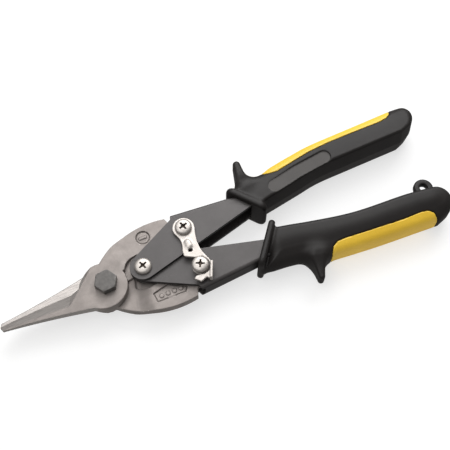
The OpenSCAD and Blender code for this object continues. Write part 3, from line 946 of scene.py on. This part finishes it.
def upper_grip():
    """Bar, thumb horn, guard and recess; the insert runs along its outer side."""
    grid = Grid((74, 2, GRIP_LOW_Z), (204, 46, -GRIP_LOW_Z), GRIP_STEP)
    whole = grip_body(
        grid,
        inner=[(93.6, 7.8), (104, 9.7), (121, 12.9), (135, 15.4), (155, 16.3), (189, 17.5)],
        end=[(196.2, 20.6), (200.6, 26.0), (201.3, 31.2), (198.0, 35.6)],
        outer=[(190, 36.5), (164, 35.3), (137, 34.1), (123.6, 32.3), (110, 29.9), (103, 27.6), (96, 26.0)],
        front=(83.4, 22.9), inner_rim=1.4, inner_slope=0.13,
        outer_rim=[(90, 4.0), (112, 6.5), (188, 6.5), (200, 5.5)],
        half=[(80, 10.0), (95, 10.2), (110, 10.7), (124, 11), (188, 11), (201, 10.4)], crown=0.4)
    whole = join(whole, horn_field(grid, (90.8, 27.0), (93.2, 40.4), (3.3, 2.2), (8.4, 4.8), 1.8), 9.0)
    whole = join(whole, guard_field(grid, (95.8, 5.0), (80.1, 24.6), 3.9), 2.4)
    recess = (line_distance(grid.xy, RECESS) - RECESS_R)[..., None]
    whole = carve(whole, np.maximum(recess, GRIP_HALF - RECESS_DEPTH - grid.z), 0.25)
    shell, insert = split_grip(grid, whole, [
        (103.4, 25.4), (106.5, 24.2), (110.5, 23.7), (118, 25.0), (132, 27.8), (146, 29.2), (165, 29.6),
        (180, 29.8), (184.6, 30.6), (187.6, 32.6), (189.4, 35.6), (190, 45), (101, 45), (102.4, 28)])
    shell = np.maximum(shell, -slot_field(grid, UPPER_ARM_HALF, False))
    return grid, shell, insert


def lower_grip():
    """Bar, finger horn, guard and hanging ring; the insert runs along its outer side."""
    grid = Grid((73, -46, GRIP_LOW_Z), (196, 0, -GRIP_LOW_Z), GRIP_STEP)
    whole = grip_body(
        grid,
        inner=[(94.6, -6.2), (103, -8.0), (112, -10.2), (129, -13.8), (144, -15.7), (168, -16.8),
               (182, -18.3)],
        end=[(188.8, -19.6), (193.0, -23.6), (193.9, -29.2), (190.4, -34.6)],
        outer=[(182, -37.9), (171, -37.3), (146, -36.0), (125, -34.2), (114, -32.8), (104, -29.5),
               (95, -27.9), (86, -27.2)],
        front=(79.6, -26.2), inner_rim=2.4, inner_slope=0.10,
        outer_rim=[(88, 8.4), (106, 8.0), (116, 6.5), (184, 6.5), (192, 5.5)],
        half=[(80, 10.2), (95, 10.4), (110, 10.7), (124, 11), (184, 11), (194, 10.2)], crown=2.6)
    whole = join(whole, horn_field(grid, (109.6, -31.0), (106.9, -41.2), (3.6, 1.8), (7.4, 4.6), 1.6), 8.0)
    whole = join(whole, guard_field(grid, (95.8, -2.3), (78.2, -25.0), 3.6), 2.4)
    from_ring = np.hypot(grid.x - HANG_CENTRE[0], grid.y - HANG_CENTRE[1])
    whole = join(whole, raised(from_ring - HANG_R, grid.z, HANG_HALF, HANG_RIM), 1.2)
    whole = carve(whole, (from_ring - HANG_HOLE_R)[..., None] + 0 * grid.z, 0.9)
    shell, insert = split_grip(grid, whole, [
        (115.2, -45), (115.8, -37), (117.2, -32.8), (119.2, -29.6), (122.4, -28.1), (127, -28.1),
        (140, -29.2), (160, -30.6), (172, -30.8), (176.4, -31.5), (179.2, -33.6), (180.2, -37),
        (180.4, -45)])
    shell = np.maximum(shell, -slot_field(grid, LOWER_ARM_HALF, True))
    return grid, shell, insert


def grip_pieces(prefix, body, fields):
    """Makes both pieces of a grip, and returns its dark shell."""
    grid, shell, insert = fields
    made = {}
    for part, field, slot in (("grip", shell, "grip_rubber"), ("grip_insert", insert, "insert_rubber")):
        obj = mesh_object(f"{prefix}_{part}_moulding", *skin(grid, field))
        made[part] = finish_piece(obj, body, slot, f"{prefix}_{part}")
    return made["grip"]


def texture_recess(grip):
    """Gives the recess's floor a lighter, rougher finish than the rest of the grip."""
    grip.data.materials.append(RECESS_TEXTURE)
    floor_z = (MID_Z + GRIP_HALF - RECESS_DEPTH) * MM
    for face in grip.data.polygons:
        c = face.center
        if abs(c.z - floor_z) < 0.2 * MM and face.normal.z > 0.8:
            if line_distance(np.array([c.x, c.y]) / MM, RECESS) < RECESS_R - 0.1:
                face.material_index = 1


texture_recess(grip_pieces("upper", "upper_handle", upper_grip()))
grip_pieces("lower", "lower_handle", lower_grip())


# ---------- floor, light and camera ----------

def floor_material():
    """Pale sweep that glows a little, so that shadows on it stay light."""
    m, tree, shader = new_material("pale_floor")
    tone = between(tree, noise(tree, place(tree), 0.004, 2), grey(0.39), grey(0.41))
    tree.links.new(tone, shader.inputs["Base Color"])
    shader.inputs["Roughness"].default_value = 0.9
    shader.inputs["Emission Color"].default_value = (1, 1, 1, 1)
    shader.inputs["Emission Strength"].default_value = 0.66
    return m


FLOOR_HALF = 20.0
FLOOR_DROP = 0.0002


def floor():
    """Wide enough to reach the horizon, and just under the part; it stays out of reflections."""
    h = FLOOR_HALF
    mesh = bpy.data.meshes.new("floor")
    mesh.from_pydata([(-h, -h, 0), (h, -h, 0), (h, h, 0), (-h, h, 0)], [], [(0, 1, 2, 3)])
    obj = link("floor", mesh)
    obj.location.z = cad_box[0].z - FLOOR_DROP
    obj.data.materials.append(floor_material())
    obj.visible_glossy = False


def area_light(name, place_at, aim, size, power):
    data = bpy.data.lights.new(name, "AREA")
    data.shape = "RECTANGLE"
    data.size, data.size_y = size
    data.energy = power
    obj = bpy.data.objects.new(name, data)
    bpy.context.scene.collection.objects.link(obj)
    obj.location = place_at
    obj.rotation_mode = "QUATERNION"
    obj.rotation_quaternion = (Vector(aim) - Vector(place_at)).to_track_quat("-Z", "Y")


def studio():
    """A pale sky, a large soft light from behind and one from above."""
    scene = bpy.context.scene
    scene.view_settings.view_transform = "Standard"
    world = bpy.data.worlds.new("studio")
    world.use_nodes = True
    background = world.node_tree.nodes["Background"]
    background.inputs["Color"].default_value = (1.0, 0.985, 0.97, 1)
    background.inputs["Strength"].default_value = 0.22
    scene.world = world
    middle = (0.07, 0.0, 0.01)
    area_light("back_softbox", (0.42, 0.60, 0.70), middle, size=(0.9, 0.65), power=8.2)
    area_light("overhead", (-0.22, 0.20, 1.0), middle, size=(0.9, 0.9), power=5.0)


# Turn about the vertical and height above the plane, in degrees
CAMERA_AZ = -23.61
CAMERA_EL = 63.0
CAMERA_DISTANCE = 0.41749
CAMERA_TARGET = Vector((0.07230, 0.00892, MID_Z * MM))


def camera():
    a, e = math.radians(CAMERA_AZ), math.radians(CAMERA_EL)
    back = Vector((math.sin(a) * math.cos(e), -math.cos(a) * math.cos(e), math.sin(e)))
    data = bpy.data.cameras.new("camera")
    data.lens = 60
    data.sensor_width = 36
    data.clip_start, data.clip_end = 0.01, 60
    obj = bpy.data.objects.new("camera", data)
    bpy.context.scene.collection.objects.link(obj)
    obj.location = CAMERA_TARGET + back * CAMERA_DISTANCE
    obj.rotation_mode = "QUATERNION"
    obj.rotation_quaternion = (-back).to_track_quat("-Z", "Y")
    bpy.context.scene.camera = obj


floor()
studio()
camera()
